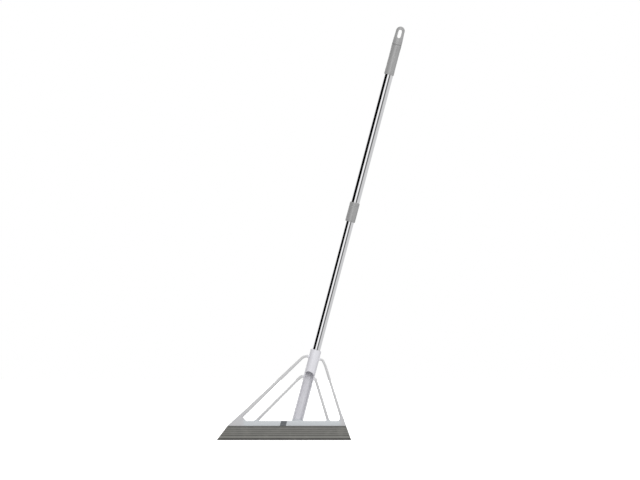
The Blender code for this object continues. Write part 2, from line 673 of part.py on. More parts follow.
def main():
    clear_scene()
    pole_axis = add_axis("pole_axis", location=(POLE_FOOT_X, 0.0, 0.0), tilt=POLE_TILT)
    lock_axis = add_axis("lock_axis", pole_axis)
    upper_axis = add_axis("upper_axis", lock_axis)
    hanger_axis = add_axis("hanger_axis", upper_axis)
    make_rubber_blade()
    make_blade_key()
    make_head_frame(pole_axis)
    for make in (make_lower_tube, make_thread_spigot, make_lock_plug, make_lock_cap, make_cap_screw):
        make(pole_axis)
    for make in (make_lock_sleeve, make_drag_ring):
        make(lock_axis)
    for make in (make_upper_tube, make_collar, make_guide_bush, make_grip, make_end_plug):
        make(upper_axis)
    for make in (make_hanging_loop, make_hanger_clip):
        make(hanger_axis)


main()
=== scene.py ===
import json
import math

import bmesh
import bpy
import numpy as np
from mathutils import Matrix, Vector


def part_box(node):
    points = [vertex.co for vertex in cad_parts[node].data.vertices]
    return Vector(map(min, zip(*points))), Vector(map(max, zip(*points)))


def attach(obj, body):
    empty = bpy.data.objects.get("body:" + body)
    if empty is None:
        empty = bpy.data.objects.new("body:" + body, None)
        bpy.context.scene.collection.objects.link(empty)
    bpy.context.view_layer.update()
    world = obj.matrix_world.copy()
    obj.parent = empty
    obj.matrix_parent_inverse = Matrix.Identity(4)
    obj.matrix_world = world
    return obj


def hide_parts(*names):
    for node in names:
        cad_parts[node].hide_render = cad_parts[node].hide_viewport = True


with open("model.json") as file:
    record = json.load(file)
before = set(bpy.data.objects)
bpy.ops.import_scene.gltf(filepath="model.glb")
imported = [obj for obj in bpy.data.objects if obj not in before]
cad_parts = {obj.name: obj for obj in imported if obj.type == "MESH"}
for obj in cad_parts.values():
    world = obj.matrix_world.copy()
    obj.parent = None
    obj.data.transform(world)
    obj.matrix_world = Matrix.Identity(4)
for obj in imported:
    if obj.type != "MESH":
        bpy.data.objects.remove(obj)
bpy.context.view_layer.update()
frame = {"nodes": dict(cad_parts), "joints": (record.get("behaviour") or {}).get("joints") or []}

# The pole's own directions, taken from its joint: along it, across it in the blade's plane, and back
poleJoint = next(joint for joint in frame["joints"] if joint["name"] == "pole_twist")
poleUp = np.array(poleJoint["axis"], dtype=float)
poleUp /= np.linalg.norm(poleUp)
poleAcross = np.array((poleUp[2], 0.0, -poleUp[0]))
poleBack = np.array((0.0, 1.0, 0.0))
polePoint = np.array(poleJoint["pos_m"], dtype=float)
poleFoot = polePoint - poleUp * polePoint[2] / poleUp[2]  # where its axis meets the floor
poleTilt = math.atan2(poleUp[0], poleUp[2])
sinTilt, cosTilt = math.sin(poleTilt), math.cos(poleTilt)


def poleToWorld(points):
    # a point (across, back, station) = foot + across * side + back * Y + station * axis
    points = np.asarray(points, dtype=float)
    return (poleFoot + points[..., 0:1] * poleAcross + points[..., 1:2] * poleBack
            + points[..., 2:3] * poleUp)


def levelStation(across, height):
    # station of the point that far across the pole at a given height over the floor
    return (height + across * sinTilt) / cosTilt


def poleSpan(node, lowRadius=None, highRadius=None):
    # stations of a turned node's two ends, and its radius, from its box
    low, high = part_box(node)
    radius = high.y
    lowRadius = radius if lowRadius is None else lowRadius
    highRadius = radius if highRadius is None else highRadius
    return (low.z + lowRadius * sinTilt) / cosTilt, (high.z - highRadius * sinTilt) / cosTilt, radius


def smoothStep(value, low, high):
    # 3t^2 - 2t^3 between low and high
    share = np.clip((value - low) / (high - low), 0.0, 1.0)
    return share * share * (3.0 - 2.0 * share)


def filletPath(corners, arcSteps=6, closed=False):
    # polyline of (u, v, radius) corners, each turned into an arc that touches both its sides
    corners = np.asarray(corners, dtype=float)
    points = []
    for i, (u, v, radius) in enumerate(corners):
        here = np.array((u, v))
        if radius == 0.0 or (not closed and i in (0, len(corners) - 1)):
            points.append(here[None, :])
            continue
        before = corners[i - 1, :2] - here
        after = corners[(i + 1) % len(corners), :2] - here
        before /= np.linalg.norm(before)
        after /= np.linalg.norm(after)
        half = math.acos(np.clip(before @ after, -1.0, 1.0)) / 2.0
        middle = before + after
        centre = here + middle / np.linalg.norm(middle) * radius / math.sin(half)
        reach = radius / math.tan(half)
        first = here + before * reach - centre
        last = here + after * reach - centre
        start = math.atan2(first[1], first[0])
        turn = (math.atan2(last[1], last[0]) - start + math.pi) % (2.0 * math.pi) - math.pi
        angles = start + turn * np.linspace(0.0, 1.0, arcSteps + 1)
        points.append(centre + radius * np.stack((np.cos(angles), np.sin(angles)), axis=-1))
    return np.concatenate(points)


def evenPath(path, spacing):
    # the same path with evenly spaced points, and the length up to each
    lengths = np.concatenate(([0.0], np.cumsum(np.linalg.norm(np.diff(path, axis=0), axis=1))))
    wanted = np.linspace(0.0, lengths[-1], max(int(lengths[-1] / spacing), 2) + 1)
    return np.stack([np.interp(wanted, lengths, path[:, k]) for k in (0, 1)], axis=-1), wanted


def pointGrid(x, y, z):
    # three coordinates broadcast to one shape and stacked as points
    return np.stack(np.broadcast_arrays(x, y, z), axis=-1)


def gridFaces(rows, columns, wrapRows=False, wrapColumns=True, first=0):
    # quads between neighbouring rows and columns of a grid stored row after row
    i = np.arange(rows if wrapRows else rows - 1)[:, None]
    j = np.arange(columns if wrapColumns else columns - 1)[None, :]
    nextRow, nextColumn = (i + 1) % rows, (j + 1) % columns
    corners = (i * columns + j, i * columns + nextColumn,
               nextRow * columns + nextColumn, nextRow * columns + j)
    return (np.stack(np.broadcast_arrays(*corners), axis=-1).reshape(-1, 4) + first).tolist()


def weldMesh(mesh, weld=1e-6, sharp=35.0):
    # doubles merged, every face outwards, smooth shading apart from real edges
    cleaned = bmesh.new()
    cleaned.from_mesh(mesh)
    bmesh.ops.remove_doubles(cleaned, verts=cleaned.verts, dist=weld)
    bmesh.ops.dissolve_degenerate(cleaned, edges=cleaned.edges, dist=weld)
    bmesh.ops.recalc_face_normals(cleaned, faces=cleaned.faces)
    if cleaned.calc_volume(signed=True) < 0.0:
        bmesh.ops.reverse_faces(cleaned, faces=cleaned.faces)
    cleaned.to_mesh(mesh)
    cleaned.free()
    mesh.shade_smooth()
    mesh.set_sharp_from_angle(angle=math.radians(sharp))
    return mesh


def arrayMesh(name, points, faces):
    # a welded mesh from an array of points and a list of faces
    mesh = bpy.data.meshes.new(name)
    mesh.from_pydata(np.asarray(points).reshape(-1, 3).tolist(), [], faces)
    return weldMesh(mesh)


def loftMesh(name, rings):
    # closed body through rings of shape (rows, columns, 3), with a flat cap on each end
    rows, columns = rings.shape[:2]
    faces = gridFaces(rows, columns)
    faces += [list(range(columns)), list(range((rows - 1) * columns, rows * columns))]
    return arrayMesh(name, rings, faces)


def turnedMesh(name, corners, arcSteps=5):
    # (radius, station, fillet) profile turned about the pole: (r sin a, -r cos a, s)
    profile = filletPath(corners, arcSteps, closed=True)
    segments = 128
    angles = np.arange(segments) * 2.0 * math.pi / segments
    radius, station = profile[:, 0, None], profile[:, 1, None]
    rings = pointGrid(radius * np.sin(angles), -radius * np.cos(angles), station)
    return arrayMesh(name, poleToWorld(rings), gridFaces(len(profile), segments, wrapRows=True))


def linked(name, mesh):
    # a new object in the scene, at the origin
    item = bpy.data.objects.new(name, mesh)
    bpy.context.scene.collection.objects.link(item)
    return item


def settled(item, sharp=35.0):
    # the object's mesh with its modifiers applied; the object itself goes
    graph = bpy.context.evaluated_depsgraph_get()
    mesh = bpy.data.meshes.new_from_object(item.evaluated_get(graph))
    mesh.name = item.name
    bpy.data.objects.remove(item, do_unlink=True)
    return weldMesh(mesh, sharp=sharp)


def combined(name, base, others, operation):
    # one solid from base and others, joined or cut exactly, one after another
    item = linked(name, base)
    tools = []
    for mesh in others:
        tools.append(linked(mesh.name + "Tool", mesh))
        modifier = item.modifiers.new("combine", "BOOLEAN")
        modifier.operation = operation
        modifier.object = tools[-1]
        modifier.solver = "EXACT"
    mesh = settled(item)
    for tool in tools:
        bpy.data.objects.remove(tool, do_unlink=True)
    return mesh


def bevelled(mesh, width):
    # the same mesh with every edge sharper than 40 degrees rounded off
    item = linked(mesh.name, mesh)
    modifier = item.modifiers.new("edges", "BEVEL")
    modifier.width = width
    modifier.segments = 3
    modifier.limit_method = "ANGLE"
    modifier.angle_limit = math.radians(40.0)
    return settled(item)


def slab(name, outline, front, back):
    # an (x, z) outline carried along Y
    outline = np.asarray(outline)
    return loftMesh(name, pointGrid(outline[:, 0], np.array((front, back))[:, None], outline[:, 1]))


def addPiece(name, mesh, material, body, nodes):
    # a finished piece: its material, the body it rides on, and the CAD nodes it stands for
    piece = linked(name, mesh)
    mesh.materials.clear()
    mesh.materials.append(material)
    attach(piece, body)
    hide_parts(*nodes)
    print("made", name, len(mesh.polygons), "faces")
    return piece


# Node groups and materials

def groupTree(name, inputs, outputs):
    # an empty shader group with (name, kind, value) inputs and (name, kind) outputs
    tree = bpy.data.node_groups.new(name, "ShaderNodeTree")
    for label, kind, value in inputs:
        socket = tree.interface.new_socket(label, in_out="INPUT", socket_type="NodeSocket" + kind)
        if value is not None:
            socket.default_value = value
    for label, kind in outputs:
        tree.interface.new_socket(label, in_out="OUTPUT", socket_type="NodeSocket" + kind)
    return tree, tree.nodes.new("NodeGroupInput"), tree.nodes.new("NodeGroupOutput")


def put(tree, kind, inputs=(), **settings):
    # a node with its settings, and inputs given as numbers, colours or sockets to link from
    node = tree.nodes.new("ShaderNode" + kind)
    for key, value in settings.items():
        setattr(node, key, value)
    for label, value in dict(inputs).items():
        if isinstance(value, bpy.types.NodeSocket):
            tree.links.new(value, node.inputs[label])
        else:
            node.inputs[label].default_value = value
    return node


def calc(tree, operation, *values):
    # one math step on numbers or sockets
    return put(tree, "Math", dict(enumerate(values)), operation=operation).outputs[0]


def blendColour(tree, share, first, second):
    # first * (1 - share) + second * share; a colour mix has its colours on inputs 6 and 7
    return put(tree, "Mix", {0: share, 6: first, 7: second}, data_type="RGBA").outputs[2]


def spread(tree, value, low, high, newLow=0.0, newHigh=1.0):
    # newLow + (newHigh - newLow) * (value - low) / (high - low), held at both ends
    node = put(tree, "MapRange", {"Value": value, "From Min": low, "From Max": high,
                                  "To Min": newLow, "To Max": newHigh}, clamp=True)
    return node.outputs["Result"]


def grainGroup():
    # fine mould grain as a height, with slow flow marks as a tone
    tree, given, made = groupTree(
        "mouldGrain",
        [("Vector", "Vector", None), ("Grain Size", "Float", 1200.0), ("Flow Size", "Float", 9.0)],
        [("Height", "Float"), ("Tone", "Float")])
    fine = put(tree, "TexNoise", {"Vector": given.outputs["Vector"], "Scale": given.outputs["Grain Size"],
                                  "Detail": 2.0, "Roughness": 0.55})
    cells = put(tree, "TexVoronoi", {"Vector": given.outputs["Vector"],
                                     "Scale": calc(tree, "MULTIPLY", given.outputs["Grain Size"], 0.6)},
                feature="SMOOTH_F1")
    height = calc(tree, "ADD", calc(tree, "MULTIPLY", fine.outputs["Fac"], 0.6),
                  calc(tree, "MULTIPLY", cells.outputs["Distance"], 0.4))
    flow = put(tree, "TexNoise", {"Vector": given.outputs["Vector"], "Scale": given.outputs["Flow Size"],
                                  "Detail": 3.0, "Distortion": 1.4})
    tree.links.new(height, made.inputs["Height"])
    tree.links.new(flow.outputs["Fac"], made.inputs["Tone"])
    return tree


def wearGroup():
    # scattered rubs and specks from handling: Rub is broad and soft, Speck is small and sharp
    tree, given, made = groupTree(
        "handlingWear",
        [("Vector", "Vector", None), ("Rub Size", "Float", 30.0), ("Speck Size", "Float", 900.0),
         ("Speck Share", "Float", 0.06)],
        [("Rub", "Float"), ("Speck", "Float")])
    broad = put(tree, "TexNoise", {"Vector": given.outputs["Vector"], "Scale": given.outputs["Rub Size"],
                                   "Detail": 5.0, "Roughness": 0.6})
    rub = spread(tree, broad.outputs["Fac"], 0.48, 0.72)
    small = put(tree, "TexNoise", {"Vector": given.outputs["Vector"], "Scale": given.outputs["Speck Size"],
                                   "Detail": 1.0})
    edge = calc(tree, "SUBTRACT", 0.78, given.outputs["Speck Share"])
    speck = calc(tree, "GREATER_THAN", small.outputs["Fac"], edge)
    tree.links.new(rub, made.inputs["Rub"])
    tree.links.new(calc(tree, "MULTIPLY", speck, calc(tree, "ADD", rub, 0.35)), made.inputs["Speck"])
    return tree


def drawnGroup():
    # draw lines along a tube: noise stretched along the axis that the vector's Z follows
    tree, given, made = groupTree(
        "drawnLines",
        [("Vector", "Vector", None), ("Line Size", "Float", 1500.0)],
        [("Height", "Float"), ("Streak", "Float")])
    squeezed = put(tree, "VectorMath", {0: given.outputs["Vector"], 1: (1.0, 1.0, 0.004)},
                   operation="MULTIPLY")
    lines = put(tree, "TexNoise", {"Vector": squeezed.outputs[0], "Scale": given.outputs["Line Size"],
                                   "Detail": 3.0, "Roughness": 0.6})
    slow = put(tree, "TexNoise", {"Vector": given.outputs["Vector"], "Scale": 14.0, "Detail": 4.0})
    tree.links.new(lines.outputs["Fac"], made.inputs["Height"])
    tree.links.new(slow.outputs["Fac"], made.inputs["Streak"])
    return tree


grain, wear, drawn = grainGroup(), wearGroup(), drawnGroup()


def newMaterial(name, **plain):
    # a Principled material; plain gives the sockets that stay constant
    material = bpy.data.materials.new(name)
    material.use_nodes = True
    tree = material.node_tree
    shader = tree.nodes["Principled BSDF"]
    for label, value in plain.items():
        shader.inputs[label.replace("_", " ")].default_value = value
    place = put(tree, "TexCoord").outputs["Object"]
    return material, tree, shader, place


def placed(tree, group, vector, **values):
    # a shared group read at these coordinates, with the sizes it takes
    given = {label.replace("_", " "): value for label, value in values.items()}
    return put(tree, "Group", {"Vector": vector, **given}, node_tree=group).outputs


def bumpTo(tree, shader, height, distance, strength):
    # tilts the normal by the slope of height * distance
    node = put(tree, "Bump", {"Height": height, "Distance": distance, "Strength": strength})
    tree.links.new(node.outputs["Normal"], shader.inputs["Normal"])


def wornGloss(tree, shader, base, rub, rubShare, tone, toneShare):
    # roughness = base + rub * rubShare + tone * toneShare
    rough = calc(tree, "ADD", base, calc(tree, "MULTIPLY", rub, rubShare))
    rough = calc(tree, "ADD", rough, calc(tree, "MULTIPLY", tone, toneShare))
    tree.links.new(rough, shader.inputs["Roughness"])


def alongPole(tree, place):
    # Object coordinates turned so that Z runs along the pole and the axis is at X = Y = 0
    node = put(tree, "Mapping", {"Vector": place, "Location": tuple(-poleFoot)})
    turned = put(tree, "Mapping", {"Vector": node.outputs[0], "Rotation": (0.0, -poleTilt, 0.0)})
    return turned.outputs[0]


def mouldedPlastic(name, colour, deeper, roughness=0.36, grainSize=1400.0, grainDepth=0.00002,
                   toneShare=0.5, speckShare=0.03, speckColour=(0.5, 0.49, 0.47, 1.0), gloss=0.5):
    # satin moulded plastic: flow marks in the tone, a grained skin, soft rubs and a few specks
    material, tree, shader, place = newMaterial(name, IOR=1.49, Specular_IOR_Level=gloss)
    skin = placed(tree, grain, place, Grain_Size=grainSize, Flow_Size=16.0)
    used = placed(tree, wear, place, Rub_Size=38.0, Speck_Size=700.0, Speck_Share=speckShare)
    tone = spread(tree, skin["Tone"], 0.35, 0.65, 0.0, toneShare)
    body = blendColour(tree, tone, (*colour, 1.0), (*deeper, 1.0))
    body = blendColour(tree, calc(tree, "MULTIPLY", used["Speck"], 0.35), body, speckColour)
    tree.links.new(body, shader.inputs["Base Color"])
    wornGloss(tree, shader, roughness, used["Rub"], 0.10, skin["Tone"], 0.06)
    bumpTo(tree, shader, skin["Height"], grainDepth, 0.6)
    return material


def headPlastic():
    # white plastic with painted shade: the thin arms painted greyer than the thick neck, in place of the
    # highlight that only the round neck catches, and darker still towards the rail; the rail painted a little
    # cooler and darker; the neck below the arch painted darker, as shade in the trough
    tones = {"neck": (0.79, 0.785, 0.83, 1.0), "neckDeep": (0.75, 0.747, 0.79, 1.0),
             "trough": (0.685, 0.68, 0.715, 1.0), "arm": (0.60, 0.60, 0.605, 1.0),
             "gusset": (0.540, 0.538, 0.551, 1.0), "rail": (0.575, 0.602, 0.622, 1.0),
             "speck": (0.5, 0.49, 0.47, 1.0)}
    # ranges over which each painted shade fades in, as (from, to)
    fades = {"trough": (0.172, 0.160), "arm": (0.0132, 0.0175), "gusset": (0.080, 0.056),
             "railTop": (0.0520, 0.0478), "railLeft": (-0.104, -0.094), "railRight": (0.141, 0.133)}
    material, tree, shader, place = newMaterial("whiteHeadPlastic", IOR=1.49, Specular_IOR_Level=0.5)
    skin = placed(tree, grain, place, Grain_Size=1400.0, Flow_Size=16.0)
    used = placed(tree, wear, place, Rub_Size=38.0, Speck_Size=700.0, Speck_Share=0.03)
    flow = spread(tree, skin["Tone"], 0.35, 0.65, 0.0, 0.5)
    body = blendColour(tree, flow, tones["neck"], tones["neckDeep"])
    pole = put(tree, "SeparateXYZ", {0: alongPole(tree, place)}).outputs
    # painted shade: the neck below the arch, the trough included, darker along the pole
    body = blendColour(tree, spread(tree, pole["Z"], *fades["trough"]), body, tones["trough"])
    # painted shade: the arms, away from the pole's axis, greyer than the neck, and darker still low down near
    # the rail
    armShadeShare = spread(tree, calc(tree, "ABSOLUTE", pole["X"]), *fades["arm"])
    spot = put(tree, "SeparateXYZ", {0: place}).outputs
    arm = blendColour(tree, spread(tree, spot["Z"], *fades["gusset"]), tones["arm"], tones["gusset"])
    body = blendColour(tree, armShadeShare, body, arm)
    # painted shade with a cool cast: the rail below its top edge and short of its two ends
    low = spread(tree, spot["Z"], *fades["railTop"])
    railShadeShare = calc(tree, "MULTIPLY", low, spread(tree, spot["X"], *fades["railLeft"]))
    railShadeShare = calc(tree, "MULTIPLY", railShadeShare, spread(tree, spot["X"], *fades["railRight"]))
    body = blendColour(tree, railShadeShare, body, tones["rail"])
    body = blendColour(tree, calc(tree, "MULTIPLY", used["Speck"], 0.25), body, tones["speck"])
    tree.links.new(body, shader.inputs["Base Color"])
    wornGloss(tree, shader, 0.26, used["Rub"], 0.12, skin["Tone"], 0.06)
    bumpTo(tree, shader, skin["Height"], 0.00002, 0.6)
    return material


def ribbedRubber():
    # matt grey rubber: paler crests, worn and dusty and also a painted highlight against the grooves, a
    # darker wiping lip, specks and rubs of dust
    tones = {"body": (0.142, 0.141, 0.132, 1.0), "flow": (0.180, 0.176, 0.163, 1.0),
             "crest": (0.240, 0.237, 0.222, 1.0), "lip": (0.115, 0.113, 0.108, 1.0),
             "dust": (0.33, 0.325, 0.30, 1.0)}
    material, tree, shader, place = newMaterial("ribbedGreyRubber", IOR=1.52, Specular_IOR_Level=0.35)
    skin = placed(tree, grain, place, Grain_Size=1100.0, Flow_Size=22.0)
    used = placed(tree, wear, place, Rub_Size=60.0, Speck_Size=2000.0, Speck_Share=0.09)
    ribs = put(tree, "Attribute", attribute_name="ribHeight").outputs["Fac"]
    height = put(tree, "SeparateXYZ", {0: place}).outputs["Z"]
    flow = spread(tree, skin["Tone"], 0.35, 0.65, 0.0, 0.22)
    body = blendColour(tree, flow, tones["body"], tones["flow"])
    # paler crests: wear and dust, and also painted highlight on the ribs with the grooves left in painted
    # shade
    body = blendColour(tree, calc(tree, "MULTIPLY", ribs, 0.75), body, tones["crest"])
    lip = spread(tree, height, 0.0048, 0.0036)
    body = blendColour(tree, calc(tree, "MULTIPLY", lip, 0.75), body, tones["lip"])
    body = blendColour(tree, calc(tree, "MULTIPLY", used["Speck"], 0.38), body, tones["dust"])
    body = blendColour(tree, calc(tree, "MULTIPLY", used["Rub"], 0.18), body, tones["dust"])
    tree.links.new(body, shader.inputs["Base Color"])
    rough = calc(tree, "SUBTRACT", 0.86, calc(tree, "MULTIPLY", ribs, 0.16))
    tree.links.new(rough, shader.inputs["Roughness"])
    bumpTo(tree, shader, skin["Height"], 0.00005, 0.8)
    return material


def plainRubber(name, colour, lighter):
    # even rubber with paler rubs and a gloss that wanders
    material, tree, shader, place = newMaterial(name, IOR=1.52, Specular_IOR_Level=0.4)
    skin = placed(tree, grain, place, Grain_Size=1300.0, Flow_Size=45.0)
    used = placed(tree, wear, place, Rub_Size=140.0, Speck_Size=1400.0, Speck_Share=0.08)
    body = blendColour(tree, calc(tree, "MULTIPLY", used["Rub"], 0.5), (*colour, 1.0), (*lighter, 1.0))
    tree.links.new(body, shader.inputs["Base Color"])
    tree.links.new(spread(tree, skin["Tone"], 0.3, 0.7, 0.55, 0.72), shader.inputs["Roughness"])
    bumpTo(tree, shader, skin["Height"], 0.00004, 0.7)
    return material


def polishedSteel(name, colour, roughness, lineDepth, smear):
    # bright tube: hair-fine draw lines along the pole and faint finger smears in the gloss
    material, tree, shader, place = newMaterial(name, Metallic=1.0)
    lines = placed(tree, drawn, alongPole(tree, place), Line_Size=1800.0)
    used = placed(tree, wear, place, Rub_Size=26.0, Speck_Size=1600.0, Speck_Share=0.02)
    dimmer = tuple(c * 0.93 for c in colour)
    fine = spread(tree, lines["Height"], 0.35, 0.65, 0.0, 0.5)
    body = blendColour(tree, fine, (*colour, 1.0), (*dimmer, 1.0))
    tree.links.new(body, shader.inputs["Base Color"])
    wornGloss(tree, shader, roughness, used["Rub"], smear, lines["Streak"], smear * 0.4)
    bumpTo(tree, shader, lines["Height"], lineDepth, 0.25)
    return material


finishes = {
    "whitePlastic": headPlastic(),
    "greyRubber": ribbedRubber(),
    "keyRubber": plainRubber("darkKeyRubber", (0.145, 0.155, 0.165), (0.20, 0.21, 0.22)),
    "ringRubber": plainRubber("blackRingRubber", (0.02, 0.02, 0.02), (0.05, 0.05, 0.05)),
    "steel": polishedSteel("polishedTubeSteel", (0.90, 0.90, 0.915), 0.025, 0.000002, 0.05),
    "collarPlastic": mouldedPlastic("collarPlastic", (0.34, 0.34, 0.34), (0.305, 0.305, 0.305), 0.26, 1700.0,
                                    0.00001, 0.7, 0.05, (0.42, 0.42, 0.42, 1.0), 1.0),
    "gripPlastic": mouldedPlastic("gripPlastic", (0.335, 0.335, 0.335), (0.30, 0.30, 0.30), 0.26, 1500.0,
                                  0.000015, 0.7, 0.05, (0.44, 0.44, 0.44, 1.0), 1.0),
    "spigotPlastic": mouldedPlastic("spigotPlastic", (0.24, 0.24, 0.24), (0.20, 0.20, 0.20), 0.5),
    "blackPlastic": mouldedPlastic("blackPlastic", (0.03, 0.03, 0.03), (0.045, 0.045, 0.045), 0.45),
    "naturalPlastic": mouldedPlastic("naturalPlastic", (0.62, 0.62, 0.57), (0.56, 0.56, 0.50), 0.4),
    "screwSteel": polishedSteel("zincPlatedSteel", (0.55, 0.55, 0.56), 0.28, 0.00002, 0.12),
}
print("materials made:", len(finishes))

# Head moulding: the rail, the hollow neck and four arms, joined into one solid

bladeLow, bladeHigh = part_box("rubber_blade")
railAboveLip = 0.0349
railLow, railHigh = bladeLow.z + railAboveLip, 0.0467
headMoulding = {
    "railHalfDepth": 0.0060, "railEdge": 0.0007,
    "railCorners": [(-0.1380, railLow, 0.0), (0.1511, railLow, 0.0), (0.1424, 0.0595, 0.0),
                    (0.1368, 0.0595, 0.0), (0.1338, railHigh, 0.0040), (-0.0925, railHigh, 0.0060),
                    (-0.1020, 0.0570, 0.0), (-0.1085, 0.0622, 0.0)],
    "neckRadius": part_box("head_frame")[1].y, "footFlare": 0.0003, "flareFrom": 0.045, "flareTo": 0.085,
    "troughRadius": 0.0106,
    "troughTop": 0.1745, "rimBack": 0.0038, "rimInset": 0.035,
    "neckLow": 0.0380, "troughFloor": 0.0482, "plugRadius": 0.0119, "plugFront": -0.0056,
    "plugEdge": 0.0006, "plugLow": 0.0004, "plugShoulder": 0.0010,
    "archTop": 0.1725, "archPeak": -0.0025, "archDropLeft": 0.0090, "archDropRight": 0.0125,
    "archEnd": 0.985,
    "threadMouth": 0.1770, "threadHigh": 0.1950, "threadPitch": 0.0040,
    "threadRoot": 0.00925, "threadCrest": 0.01005,
    "socketRadius": 0.0103, "sleeveTop": 0.2270, "sleeveEdge": 0.0007,
    "armEmbed": 0.0117, "armPower": 3.2, "armFlare": 0.0016, "armFlareReach": 0.0075, "armInRail": 0.0060,
    "slotWebHalf": 0.0016, "slotBeadHalf": 0.0033, "slotBeadLow": 0.0385, "slotBeadHigh": 0.0435,
    "slotSlope": 0.0007, "slotBelow": 0.005, "slotReach": 0.2, "cutFront": -0.0200,
    "keyHalfWidth": 0.0072, "keyCentre": -0.0014, "keyFoot": 0.0004, "keyHead": 0.0006,
    "keyPocket": -0.0043, "keyGap": 0.0003,
}
# each arm: the station and side where it leaves the neck, its corners (x, z, fillet), its depth, its
# width at the neck and at the rail, and how much it flares there
headArms = {
    "outerLeft": ((0.2075, -1.0), [(0.0503, 0.2068, 0.020), (-0.1171, 0.0464, 0.0)],
                  0.0080, 0.0060, 0.0104, 0.0),
    "outerRight": ((0.2075, 1.0), [(0.0935, 0.1952, 0.008), (0.1000, 0.1815, 0.045), (0.1424, 0.0460, 0.0)],
                   0.0080, 0.0054, 0.0070, 0.0),
    "innerLeft": ((0.1580, -1.0), [(0.0438, 0.1577, 0.012), (-0.0740, 0.0400, 0.0)],
                  0.0070, 0.0068, 0.0070, 0.0018),
    "innerRight": ((0.1580, 1.0), [(0.0763, 0.1486, 0.008), (0.1093, 0.0400, 0.0)],
                   0.0070, 0.0066, 0.0068, 0.0018),
}


def archStation(angle, radius):
    # the arch over the trough: a quarter ellipse each side of its peak, deeper on the right
    part = headMoulding
    across = radius * np.sin(angle)
    left = across < part["archPeak"]
    reach = np.where(left, part["neckRadius"] + part["archPeak"], part["neckRadius"] - part["archPeak"])
    drop = np.where(left, part["archDropLeft"], part["archDropRight"])
    share = np.clip(np.abs(across - part["archPeak"]) / reach, 0.0, part["archEnd"])
    return part["archTop"] - drop * (1.0 - np.sqrt(1.0 - share ** 2))


def threadRadius(angle, station):
    # bore radius: trough, then a 4 mm pitch screw thread, then the tube's socket
    part = headMoulding
    phase = (station / part["threadPitch"] - angle / (2.0 * math.pi)) % 1.0
    crest = np.clip(2.0 - np.abs(phase - 0.5) * 6.0, 0.0, 1.0)
    thread = part["threadRoot"] + (part["threadCrest"] - part["threadRoot"]) * crest
    entry = smoothStep(station, part["troughTop"], part["threadMouth"])
    leave = smoothStep(station, part["threadHigh"], part["threadHigh"] + 0.0007)
    inside = part["troughRadius"] + (thread - part["troughRadius"]) * entry
    return inside + (part["socketRadius"] - inside) * leave


